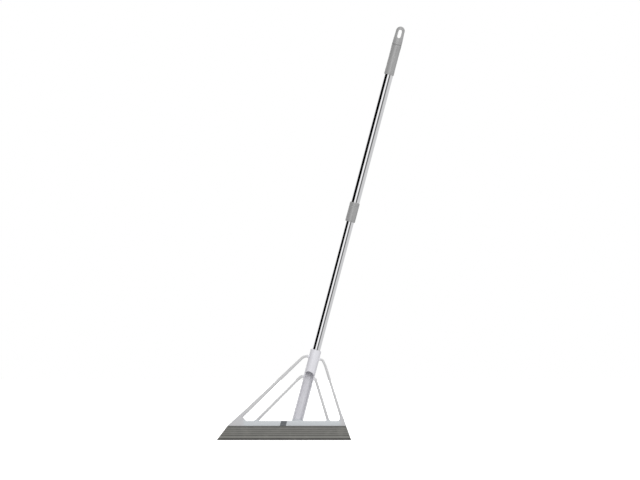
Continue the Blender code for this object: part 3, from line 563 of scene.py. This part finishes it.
def neckMesh():
    # walls as (angle, station) grids: a front patch over the arch, and a back patch down to the foot;
    # a rounded rim runs up one side of the trough, over the arch and down the other
    part = headMoulding
    outer = part["neckRadius"]
    opening = math.acos(part["rimBack"] / outer) - part["rimInset"]  # where the walls end beside the rim
    frontCount, backCount, upperCount, lowerCount, rimCount = 37, 57, 110, 60, 9
    frontAngles = np.linspace(-opening, opening, frontCount)
    backAngles = np.linspace(opening, 2.0 * math.pi - opening, backCount)
    wallHalf = (outer - part["troughRadius"]) / 2.0
    rimLift = wallHalf * 0.9

    def rise(angle, share):
        # stations from the arch, or its end level behind it, up to the sleeve's top
        inFront = np.abs((angle + math.pi) % (2.0 * math.pi) - math.pi) <= opening + 1e-9
        end = archStation(np.where(inFront, angle, opening), outer) + rimLift
        low, high = archStation(-opening, outer), archStation(opening, outer)
        back = low + (high - low) * (1.0 - np.clip((angle - opening) / (2.0 * math.pi - 2.0 * opening), 0, 1))
        start = np.where(inFront, end, back + rimLift)
        return start + (part["sleeveTop"] - start) * share

    def wallPoint(radius, angle, station):
        # (r sin a, -r cos a, s)
        return pointGrid(radius * np.sin(angle), -radius * np.cos(angle), station)

    def outerRadius(station):
        # the wall's radius, flared at the foot and rounded off by a quarter circle at the top
        flare = part["footFlare"] * (1.0 - smoothStep(station, part["flareFrom"], part["flareTo"]))
        edge = np.clip((station - (part["sleeveTop"] - part["sleeveEdge"])) / part["sleeveEdge"], 0.0, 1.0)
        return outer + flare - part["sleeveEdge"] * (1.0 - np.sqrt(np.maximum(1.0 - edge ** 2, 0.0)))

    edgeShare = 0.015
    nearTop = 1.0 - edgeShare * (1.0 - np.linspace(0.0, 1.0, 7)[1:]) ** 2
    upShare = np.concatenate((np.linspace(0.0, 1.0 - edgeShare, upperCount - 6), nearTop))
    blocks, faces, first = [], [], 0

    def addGrid(points, flip=False):
        # one patch's points and quads, turned round if flip
        nonlocal first
        rows, columns = points.shape[:2]
        quads = gridFaces(rows, columns, wrapColumns=False, first=first)
        faces.extend([quad[::-1] for quad in quads] if flip else quads)
        blocks.append(poleToWorld(points).reshape(-1, 3))
        first += rows * columns

    for angles in (frontAngles, backAngles):
        stations = rise(angles[None, :], upShare[:, None])
        addGrid(wallPoint(outerRadius(stations), angles[None, :], stations))
        addGrid(wallPoint(threadRadius(angles[None, :], stations), angles[None, :], stations), flip=True)
        top = stations[-1]
        lip = np.linspace(0.0, 1.0, 5)[:, None]
        edgeRadius = outerRadius(top) * (1.0 - lip) + threadRadius(angles, top) * lip
        addGrid(wallPoint(edgeRadius, angles[None, :], np.broadcast_to(top, edgeRadius.shape)))
    downShare = np.linspace(0.0, 1.0, lowerCount)[:, None]
    start = rise(backAngles, np.zeros_like(backAngles))

    def lowerStation(radius):
        # stations of the back wall from its level-cut foot up to where the upper wall starts
        foot = levelStation(radius * np.sin(backAngles), part["neckLow"])
        return foot + (start - foot) * downShare

    outerLow = lowerStation(outer)
    addGrid(wallPoint(outerRadius(outerLow), backAngles[None, :], outerLow))
    innerLow = lowerStation(part["troughRadius"])
    addGrid(wallPoint(threadRadius(backAngles[None, :], innerLow), backAngles[None, :], innerLow), flip=True)
    lip = np.linspace(0.0, 1.0, 5)[:, None]
    footRadius = outerRadius(outerLow[0]) * (1.0 - lip) + threadRadius(backAngles, innerLow[0]) * lip
    footStation = outerLow[0] * (1.0 - lip) + innerLow[0] * lip
    addGrid(wallPoint(footRadius, backAngles[None, :], footStation), flip=True)

    # the rim: a half round from the outer wall to the inner one, carried along the opening's edge
    turn = np.linspace(0.0, math.pi, rimCount)[:, None]
    archOut = rise(frontAngles, np.zeros_like(frontAngles))
    leftOut, leftIn = outerLow[:, -1], innerLow[:, -1]
    rightOut, rightIn = outerLow[:, 0], innerLow[:, 0]
    angleRun = np.concatenate((np.full(lowerCount - 1, -opening), frontAngles,
                               np.full(lowerCount - 1, opening)))
    outRun = np.concatenate((leftOut[:-1], archOut, rightOut[::-1][1:]))
    inRun = np.concatenate((leftIn[:-1], archOut, rightIn[::-1][1:]))
    share = (1.0 - np.cos(turn)) / 2.0
    stationRun = outRun * (1.0 - share) + inRun * share
    outerRun, innerRun = outerRadius(outRun), threadRadius(angleRun, inRun)
    radius = outerRun * (1.0 - share) + innerRun * share
    # the bulge points down from the arch and inwards from the sides
    step = np.gradient(np.stack((outer * angleRun, outRun), axis=-1), axis=0)
    step /= np.linalg.norm(step, axis=1, keepdims=True)
    bulge = np.sin(turn) * wallHalf
    angle = angleRun + bulge * step[:, 1] / radius
    station = stationRun - bulge * step[:, 0]
    addGrid(wallPoint(radius, angle, station))

    # the small openings left at the rim's two feet are filled
    mesh = bpy.data.meshes.new("neck")
    mesh.from_pydata(np.concatenate(blocks).tolist(), [], faces)
    closed = bmesh.new()
    closed.from_mesh(mesh)
    bmesh.ops.remove_doubles(closed, verts=closed.verts, dist=2e-6)
    bmesh.ops.holes_fill(closed, edges=[edge for edge in closed.edges if edge.is_boundary])
    closed.to_mesh(mesh)
    closed.free()
    return weldMesh(mesh)


def footPlug():
    # the trough's floor: a level-cut plug inside the neck's wall, flat in front
    part = headMoulding
    angles = np.arange(64) * 2.0 * math.pi / 64
    radius = part["plugRadius"] - np.array((part["plugEdge"], 0.0, 0.0))[:, None]
    heights = np.array((part["neckLow"] + part["plugLow"], part["neckLow"] + part["plugShoulder"],
                        part["troughFloor"]))[:, None]
    across = radius * np.sin(angles)
    back = np.maximum(-radius * np.cos(angles), part["plugFront"])
    rings = pointGrid(across, back, levelStation(across, heights))
    return loftMesh("footPlug", poleToWorld(rings))


def armMesh(name, root, corners, depth, startWidth, endWidth, railFlare):
    # boxy oval section |u|^p + |v|^p = 1 carried along the arm, flared where it meets neck and rail
    part = headMoulding
    station, side = root
    start = poleToWorld((side * part["armEmbed"], 0.0, station))
    path = filletPath([(start[0], start[2], 0.0)] + corners, arcSteps=12)
    path, along = evenPath(path, 0.0016)
    ahead = np.gradient(path, axis=0)
    ahead /= np.linalg.norm(ahead, axis=1, keepdims=True)
    normal = np.stack((-ahead[:, 1], ahead[:, 0]), axis=-1)
    share = along / along[-1]
    reach, inRail = part["armFlareReach"], part["armInRail"]
    neckShare = 1.0 - smoothStep(along, 0.0, reach)
    railShare = 1.0 - smoothStep(along[-1] - along, inRail, inRail + reach)
    flare = part["armFlare"] * neckShare ** 2 + railFlare * railShare ** 2
    halfWidth = (startWidth + (endWidth - startWidth) * share) / 2.0 + flare
    angles = np.arange(40) * 2.0 * math.pi / 40
    power = 2.0 / part["armPower"]
    wide = np.sign(np.cos(angles)) * np.abs(np.cos(angles)) ** power
    deep = np.sign(np.sin(angles)) * np.abs(np.sin(angles)) ** power * depth / 2.0
    offset = halfWidth[:, None] * wide
    x, z = path[:, 0, None] + normal[:, 0, None] * offset, path[:, 1, None] + normal[:, 1, None] * offset
    return loftMesh(name, pointGrid(x, deep, z))


def keyOutline(grow=0.0):
    # the key's slanted plate, leaning with the pole: x = centre + across + (z - middle) * tan(tilt)
    part = headMoulding
    low, high = railLow + part["keyFoot"] - grow, railHigh + part["keyHead"] + grow
    half = part["keyHalfWidth"] + grow
    middle = (low + high) / 2.0
    slant = math.tan(poleTilt)
    return [(part["keyCentre"] + x + (z - middle) * slant, z)
            for x, z in ((-half, low), (half, low), (half, high), (-half, high))]


def slotMesh():
    # T-shaped channel for the blade's web and bead
    part = headMoulding
    web, bead = part["slotWebHalf"], part["slotBeadHalf"]
    mouth, low, high = railLow - part["slotBelow"], part["slotBeadLow"], part["slotBeadHigh"]
    slope = low + part["slotSlope"]
    section = np.array([(-web, mouth), (-web, low), (-bead, slope), (-bead, high),
                        (bead, high), (bead, slope), (web, low), (web, mouth)])
    ends = np.array((-part["slotReach"], part["slotReach"]))[:, None]
    return loftMesh("beadSlot", pointGrid(ends, section[:, 0], section[:, 1]))


def makeHead():
    # rail, neck, plug and arms joined; the bead's slot and the key's pocket cut out
    part = headMoulding
    outline = filletPath(part["railCorners"], arcSteps=10, closed=True)
    rail = bevelled(slab("rail", outline, -part["railHalfDepth"], part["railHalfDepth"]), part["railEdge"])
    arms = [armMesh(name, *arm) for name, arm in headArms.items()]
    solid = combined("headSolid", rail, [neckMesh(), footPlug()] + arms, "UNION")
    pocket = slab("keyPocket", keyOutline(part["keyGap"]), part["cutFront"], part["keyPocket"])
    return combined("headMoulding", solid, [slotMesh(), pocket], "DIFFERENCE")


addPiece("headMoulding", makeHead(), finishes["whitePlastic"], "head", ["head_frame"])

# Rubber blade: one ribbed section carried from end to end, with cross ribs near both ends

ribbedBlade = {
    "height": 0.0347, "footLeft": bladeLow.x - 0.0010, "footRight": bladeHigh.x,
    "topLeft": -0.1380, "topRight": 0.1511,
    "endChamfer": 0.0020, "endThickness": 0.72, "beadInset": 0.0035, "webHalf": 0.0013, "beadHalf": 0.0030,
    "beadLow": 0.0388, "beadHigh": 0.0432, "shoulderLow": 0.0334,
    "ribFirst": 0.0134, "ribPitch": 0.0049, "ribCount": 4, "crestHalf": 0.0050, "grooveHalf": 0.0043,
    "fineRibPitch": 0.0007, "fineRibDepth": 0.00007, "crossPitch": 0.0024, "crossDepth": 0.00028,
    "crossReach": 0.030,
}


def bladeSection():
    # half thickness against height as filleted corners, for the face with the ribs
    part = ribbedBlade
    corners = [(0.0, 0.0, 0.0), (0.0016, 0.0, 0.0003), (0.0019, 0.0012, 0.0), (0.0025, 0.0040, 0.0006),
               (0.0046, 0.0045, 0.0008), (0.0054, 0.0058, 0.0014), (0.0052, 0.0086, 0.0014),
               (0.0041, 0.0110, 0.0010), (0.0041, 0.0126, 0.0005)]
    for number in range(part["ribCount"]):
        foot = part["ribFirst"] + part["ribPitch"] * number
        corners += [(part["crestHalf"], foot, 0.0004), (part["crestHalf"], foot + 0.0014, 0.0004),
                    (part["grooveHalf"], foot + 0.0024, 0.0005), (part["grooveHalf"], foot + 0.0040, 0.0004)]
    web, bead, beadHigh = part["webHalf"], part["beadHalf"], part["beadHigh"]
    corners += [(0.0055, part["shoulderLow"], 0.0004), (0.0055, part["height"], 0.0003),
                (web, part["height"], 0.0),
                (web, part["beadLow"], 0.0), (bead, part["beadLow"] + 0.0006, 0.0004),
                (bead, beadHigh - 0.0010, 0.0003), (0.0020, beadHigh, 0.0), (0.0, beadHigh, 0.0)]
    return evenPath(filletPath(corners, arcSteps=4), 0.00028)[0]


def makeBlade():
    # point(u, v) = end to end position u, closed section v; ends chamfered by a quarter ellipse;
    # fine ribs along the face are a cosine of height, and cross ribs near the ends a clipped cosine of x
    part = ribbedBlade
    half = bladeSection()
    section = np.concatenate((half, np.stack((-half[::-1, 0], half[::-1, 1]), axis=-1)[1:-1]))
    depth, height = section[:, 0], section[:, 1]
    ends = np.concatenate((np.linspace(0.0, 0.0012, 4), np.linspace(0.0016, part["endChamfer"], 4),
                           np.arange(part["endChamfer"] + 0.0005, part["crossReach"] + 0.002, 0.0006)))
    middle = np.linspace(0.0, 1.0, 46)[1:-1]
    left = part["footLeft"] + (part["topLeft"] - part["footLeft"]) * height / part["height"]
    right = part["footRight"] + (part["topRight"] - part["footRight"]) * height / part["height"]
    inside = (np.abs(depth) <= part["beadHalf"] + 1e-6) & (height >= part["height"] - 1e-6)
    left = np.where(inside, left + part["beadInset"], left)
    right = np.where(inside, right - part["beadInset"], right)
    innerLeft, innerRight = left + ends[-1], right - ends[-1]
    x = np.concatenate((left + ends[:, None], innerLeft + (innerRight - innerLeft) * middle[:, None],
                        right - ends[::-1, None]))
    fromEnd = np.minimum(x - left, right - x)
    rounded = 1.0 - np.clip(fromEnd / part["endChamfer"], 0.0, 1.0)
    thickness = part["endThickness"] + (1.0 - part["endThickness"]) * np.sqrt(1.0 - rounded ** 2)
    face = (height > 0.0128) & (height < 0.0330) & (np.abs(depth) > 0.0040)
    fine = part["fineRibDepth"] * 0.5 * (1.0 - np.cos(2.0 * math.pi * height / part["fineRibPitch"]))
    near = 1.0 - smoothStep(fromEnd, part["crossReach"] - 0.006, part["crossReach"])
    cross = np.clip(np.cos(2.0 * math.pi * fromEnd / part["crossPitch"]) * 2.0 - 0.6, 0.0, 1.0)
    cross = cross * near * (fromEnd > part["endChamfer"]) * part["crossDepth"]
    relief = np.where(face, np.maximum(fine[None, :], cross), 0.0)
    y = (depth + np.sign(depth) * relief) * thickness
    points = pointGrid(x, -y, height)
    rows, columns = x.shape
    faces = gridFaces(rows, columns)
    faces += [list(range(columns)), list(range((rows - 1) * columns, rows * columns))]
    mesh = bpy.data.meshes.new("rubberBlade")
    mesh.from_pydata(points.reshape(-1, 3).tolist(), [], faces)
    # crest weight for the rubber's paler tone: wear and dust, and also painted highlight
    crests = smoothStep(np.abs(depth), part["grooveHalf"], part["crestHalf"])
    crests = crests * (height > 0.0055) * (height < part["shoulderLow"])
    crests = np.clip(crests + relief / part["crossDepth"] * 0.9, 0.0, 1.0)
    ribHeight = mesh.attributes.new("ribHeight", "FLOAT", "POINT")
    ribHeight.data.foreach_set("value", crests.astype(np.float32).ravel())
    return weldMesh(mesh, sharp=50.0)


addPiece("rubberBlade", makeBlade(), finishes["greyRubber"], "head", ["rubber_blade"])

# Blade key: slanted plate with rounded edges and two shallow finger grooves

keyPlate = {"front": -0.0065, "back": -0.0046, "edge": 0.0005,
            "grooveBelowTop": (0.0035, 0.0060), "grooveReach": 0.0050,
            "grooveHalf": 0.0005, "grooveDepth": 0.0004,
            "pegHalfWidth": 0.0027, "pegLow": 0.0397, "pegHigh": 0.0423, "pegBack": -0.0036}


def boxOutline(left, right, low, high):
    # the four corners of an upright box, as (x, z)
    return [(left, low), (right, low), (right, high), (left, high)]


def makeKey():
    # the plate and its peg joined, the grooves cut into the plate's front
    part = keyPlate
    plate = bevelled(slab("key", keyOutline(), part["front"], part["back"]), part["edge"])
    centre = headMoulding["keyCentre"]
    half = part["pegHalfWidth"]
    peg = slab("peg", boxOutline(centre - half, centre + half, part["pegLow"], part["pegHigh"]),
               part["back"] - 0.0004, part["pegBack"])
    grooves = []
    for below in part["grooveBelowTop"]:
        height = railHigh - below
        middle = centre + (height - (railLow + railHigh) / 2.0) * math.tan(poleTilt)
        outline = boxOutline(middle - part["grooveReach"], middle + part["grooveReach"],
                             height - part["grooveHalf"], height + part["grooveHalf"])
        front = part["front"] + part["grooveDepth"]
        grooves.append(slab("groove", outline, headMoulding["cutFront"], front))
    key = combined("keySolid", plate, [peg], "UNION")
    return combined("bladeKey", key, grooves, "DIFFERENCE")


addPiece("bladeKey", makeKey(), finishes["keyRubber"], "head", ["blade_key"])

# Pole: two polished tubes, the collar between them and the grip

tubeWalls = {"lower": 0.0008, "upper": 0.0006, "edge": 0.0002}


def makeTube(name, node, wall):
    # a rectangle's section, turned, with all four edges eased
    low, high, radius = poleSpan(node)
    edge = tubeWalls["edge"]
    return turnedMesh(name, [(radius, low, edge), (radius, high, edge), (radius - wall, high, edge),
                             (radius - wall, low, edge)], arcSteps=3)


addPiece("lowerTube", makeTube("lowerTube", "lower_tube", tubeWalls["lower"]), finishes["steel"],
         "head", ["lower_tube"])
addPiece("upperTube", makeTube("upperTube", "upper_tube", tubeWalls["upper"]), finishes["steel"],
         "upper_pole", ["upper_tube"])

collarRing = {"lowRadius": 0.01165, "highRadius": 0.01175, "edge": 0.0009,
              "grooveBelowTop": 0.0095, "grooveHalf": 0.0005, "grooveDepth": 0.0004,
              "tubeBore": 0.0113, "bushBore": 0.0115, "lipBore": 0.0103, "lipHeight": 0.0017,
              "shoulder": 0.0120}


def makeCollar():
    # turned ferrule with a groove; its bore steps from the tube to the bush and to the lip under it
    part = collarRing
    low, high, radius = poleSpan("collar", part["lowRadius"], part["highRadius"])
    groove = high - part["grooveBelowTop"]
    sunk = radius - part["grooveDepth"]
    half = part["grooveHalf"]
    shoulder = low + part["shoulder"]
    return turnedMesh("poleCollar", [
        (radius, low, part["edge"]), (radius, groove - half - 0.0004, 0.0002),
        (sunk, groove - half, 0.0002), (sunk, groove + half, 0.0002),
        (radius, groove + half + 0.0004, 0.0002), (radius, high, part["edge"]),
        (part["tubeBore"], high, 0.0002), (part["tubeBore"], shoulder, 0.0),
        (part["bushBore"], shoulder, 0.0), (part["bushBore"], low + part["lipHeight"], 0.0),
        (part["lipBore"], low + part["lipHeight"], 0.0), (part["lipBore"], low, 0.0003)])


addPiece("poleCollar", makeCollar(), finishes["collarPlastic"], "upper_pole", ["collar"])

handGrip = {"lowRadius": 0.0116, "highRadius": 0.0120, "edge": 0.0006, "waist": 0.0003, "bore": 0.0113}


def makeGrip():
    # turned sleeve, a little slimmer between its two ends
    part = handGrip
    low, high, radius = poleSpan("grip", part["lowRadius"], part["highRadius"])
    slim = radius - part["waist"]
    return turnedMesh("handGrip", [
        (radius, low, part["edge"]), (radius, low + 0.0060, 0.01), (slim, low + 0.0160, 0.01),
        (slim, high - 0.0160, 0.01), (radius, high - 0.0020, 0.003), (radius, high, 0.0003),
        (part["bore"], high, 0.0), (part["bore"], low, 0.0003)])


addPiece("handGrip", makeGrip(), finishes["gripPlastic"], "upper_pole", ["grip"])

# Hanging loop: a stem, a round base and a tongue that flattens, with a slot through it

hangingLoop = {"stemRadius": 0.0037, "stemEdge": 0.0006, "stemTop": 0.9883, "bossRadius": 0.0095,
               "base": 0.9953, "baseRadius": 0.0120, "baseEdge": 0.0004, "baseRise": 0.0005,
               "tipRadius": 0.0107, "halfDepth": 0.0055,
               "holeLow": 1.0120, "holeHigh": 1.0335, "holeRadius": 0.0042, "voxel": 0.00038}


def makeHanger():
    # sections (a cos t, b sin t) whose half depth b eases from the round base to the flat tongue
    part = hangingLoop
    stem, base, edge, rise = part["stemRadius"], part["base"], part["stemEdge"], part["baseRise"]
    low, high, _ = poleSpan("hanging_loop", stem - edge, 0.0)
    shoulder = high - part["tipRadius"]
    stemRows = [(stem - edge, low), (stem, low + edge), (stem, part["stemTop"]),
                (part["bossRadius"], part["stemTop"]), (part["bossRadius"], base),
                (part["baseRadius"] - part["baseEdge"], base), (part["baseRadius"], base + rise)]
    rows = [(radius, radius, station) for radius, station in stemRows]
    share = np.linspace(0.0, 1.0, 25)[1:]
    ease = smoothStep(share, 0.0, 1.0)
    tongue = np.stack((part["baseRadius"] + (part["tipRadius"] - part["baseRadius"]) * ease,
                       part["baseRadius"] + (part["halfDepth"] - part["baseRadius"]) * ease,
                       base + rise + (shoulder - base - rise) * share), axis=-1)
    angle = np.radians(88.0) * np.linspace(0.0, 1.0, 16)[1:]
    tip = np.stack((part["tipRadius"] * np.cos(angle), part["halfDepth"] * np.cos(angle) ** 0.5,
                    shoulder + part["tipRadius"] * np.sin(angle)), axis=-1)
    rows = np.concatenate((np.array(rows), tongue, tip))
    turn = np.arange(72) * 2.0 * math.pi / 72
    rings = pointGrid(rows[:, 0, None] * np.cos(turn), rows[:, 1, None] * np.sin(turn), rows[:, 2, None])
    body = loftMesh("loopBody", poleToWorld(rings))
    radius = part["holeRadius"]
    ends = np.linspace(0.0, math.pi, 17)
    upper = np.stack((radius * np.cos(ends), part["holeHigh"] - radius + radius * np.sin(ends)), axis=-1)
    lower = np.stack((-radius * np.cos(ends), part["holeLow"] + radius - radius * np.sin(ends)), axis=-1)
    outline = np.concatenate((upper, lower))
    hole = pointGrid(outline[:, 0], np.array((-0.02, 0.02))[:, None], outline[:, 1])
    cut = combined("loopCut", body, [loftMesh("loopHole", poleToWorld(hole))], "DIFFERENCE")
    item = linked("hangingLoop", cut)
    remesh = item.modifiers.new("skin", "REMESH")
    remesh.mode = "VOXEL"
    remesh.voxel_size = part["voxel"]
    soften = item.modifiers.new("soften", "SMOOTH")
    soften.factor = 0.5
    soften.iterations = 8
    return settled(item, sharp=60.0)


addPiece("hangingLoop", makeHanger(), finishes["gripPlastic"], "hanger", ["hanging_loop"])

# Inner pieces keep their CAD shapes and get their own finishes

innerFinishes = {"thread_spigot": "spigotPlastic", "lock_plug": "blackPlastic", "lock_cap": "blackPlastic",
                 "cap_screw": "screwSteel", "lock_sleeve": "naturalPlastic", "drag_ring": "ringRubber",
                 "guide_bush": "naturalPlastic", "end_plug": "naturalPlastic", "hanger_clip": "screwSteel"}
for node, finish in innerFinishes.items():
    mesh = frame["nodes"][node].data
    mesh.materials.clear()
    mesh.materials.append(finishes[finish])
print("inner pieces finished:", len(innerFinishes))

# Camera: level, square to the blade, with a long lens

view = {"centreX": 0.0873, "centreZ": 0.4873, "distance": 7.0, "width": 1.5584, "sensor": 36.0}
camera = bpy.data.cameras.new("camera")
camera.sensor_width = view["sensor"]
camera.lens = view["sensor"] * view["distance"] / view["width"]
camera.clip_end = 100.0
cameraItem = linked("camera", camera)
cameraItem.location = (view["centreX"], -view["distance"], view["centreZ"])
cameraItem.rotation_euler = (math.pi / 2.0, 0.0, 0.0)
bpy.context.scene.camera = cameraItem
bpy.context.scene.view_settings.view_transform = "Standard"

# Studio: white floor and surround, soft boxes, and cards that only the polished tubes mirror

studio = {"centre": (0.09, 0.0, 0.45), "surround": 0.46, "cardDistance": 2.6, "cardHalfHeight": 4.5,
          "floorHalf": 3.0, "floorGlow": 0.62, "aim": (0.1, 0.0, 0.3)}
# cards: from and to angle in degrees, and shade
cards = {"darkCard": (-102.0, -34.0, 0.0), "darkCardLeft": (-108.0, -102.0, 0.3),
         "darkCardRight": (-34.0, -28.0, 0.3), "midCard": (14.0, 41.0, 0.15),
         "midCardLeft": (9.0, 14.0, 0.45), "midCardRight": (41.0, 48.0, 0.4),
         "greyCard": (48.0, 165.0, 0.68)}
# soft boxes: place, side and power
softBoxes = {"keyLight": ((0.9, -3.2, 1.7), 2.0, 76.0), "topLight": ((0.3, -0.8, 3.4), 1.6, 20.0),
             "backLight": ((-0.6, 3.2, 2.2), 2.0, 70.0)}


def stageMaterial(name, paint, glowColour, glow):
    # matt paint that also glows in a colour of its own
    material = bpy.data.materials.new(name)
    material.use_nodes = True
    shader = material.node_tree.nodes["Principled BSDF"]
    shader.inputs["Base Color"].default_value = (*paint, 1.0)
    shader.inputs["Roughness"].default_value = 0.9
    shader.inputs["Specular IOR Level"].default_value = 0.0
    shader.inputs["Emission Color"].default_value = (*glowColour, 1.0)
    shader.inputs["Emission Strength"].default_value = glow
    return material


def stageSheet(name, corners, material):
    # one flat sheet of the stage, which lights nothing by its glow
    mesh = bpy.data.meshes.new(name)
    mesh.from_pydata(corners, [], [(0, 1, 2, 3)])
    mesh.materials.append(material)
    sheet = linked(name, mesh)
    sheet.visible_diffuse = False
    return sheet


def makeCard(name, fromAngle, toAngle, shade):
    # an upright card that the tubes mirror between two angles, measured from the camera towards +X
    centre = np.array(studio["centre"])
    reach, tall = studio["cardDistance"], studio["cardHalfHeight"]
    edges = []
    for angle in (math.radians(fromAngle), math.radians(toAngle)):
        edges.append(centre + reach * (math.sin(angle) * poleAcross - math.cos(angle) * poleBack))
    corners = [tuple(edges[0] - poleUp * tall), tuple(edges[1] - poleUp * tall),
               tuple(edges[1] + poleUp * tall), tuple(edges[0] + poleUp * tall)]
    card = stageSheet(name, corners, stageMaterial(name, (0.0,) * 3, (shade,) * 3, 1.0))
    card.visible_camera = False
    card.visible_shadow = False


def addSoftBox(name, place, side, power):
    # a square soft box turned towards the studio's aim, and left out of reflections
    light = bpy.data.lights.new(name, "AREA")
    light.shape = "RECTANGLE"
    light.size = light.size_y = side
    light.energy = power
    item = linked(name, light)
    item.location = place
    aim = np.array(studio["aim"]) - np.array(place)
    aim /= np.linalg.norm(aim)
    item.rotation_euler = (math.acos(-aim[2]), 0.0, math.atan2(aim[1], aim[0]) - math.pi / 2.0)
    item.visible_glossy = False


half = studio["floorHalf"]
pale = (0.93, 0.93, 0.93)
ground = stageSheet("floor", [(-half, -half, 0.0), (half, -half, 0.0), (half, half, 0.0), (-half, half, 0.0)],
                    stageMaterial("floorPaint", pale, pale, studio["floorGlow"]))
ground.visible_glossy = False
for name, card in cards.items():
    makeCard(name, *card)
for name, box in softBoxes.items():
    addSoftBox(name, *box)

# the surround is white to the camera and to the tubes, and dimmer as light
world = bpy.data.worlds.new("surround")
bpy.context.scene.world = world
world.use_nodes = True
sky = world.node_tree
sky.nodes.clear()
lighting = put(sky, "LightPath").outputs["Is Diffuse Ray"]
level = spread(sky, lighting, 0.0, 1.0, 1.0, studio["surround"])
background = put(sky, "Background", {"Color": (1.0, 1.0, 1.0, 1.0), "Strength": level})
sky.links.new(background.outputs[0], put(sky, "OutputWorld").inputs["Surface"])
print("stage, lights and camera set")
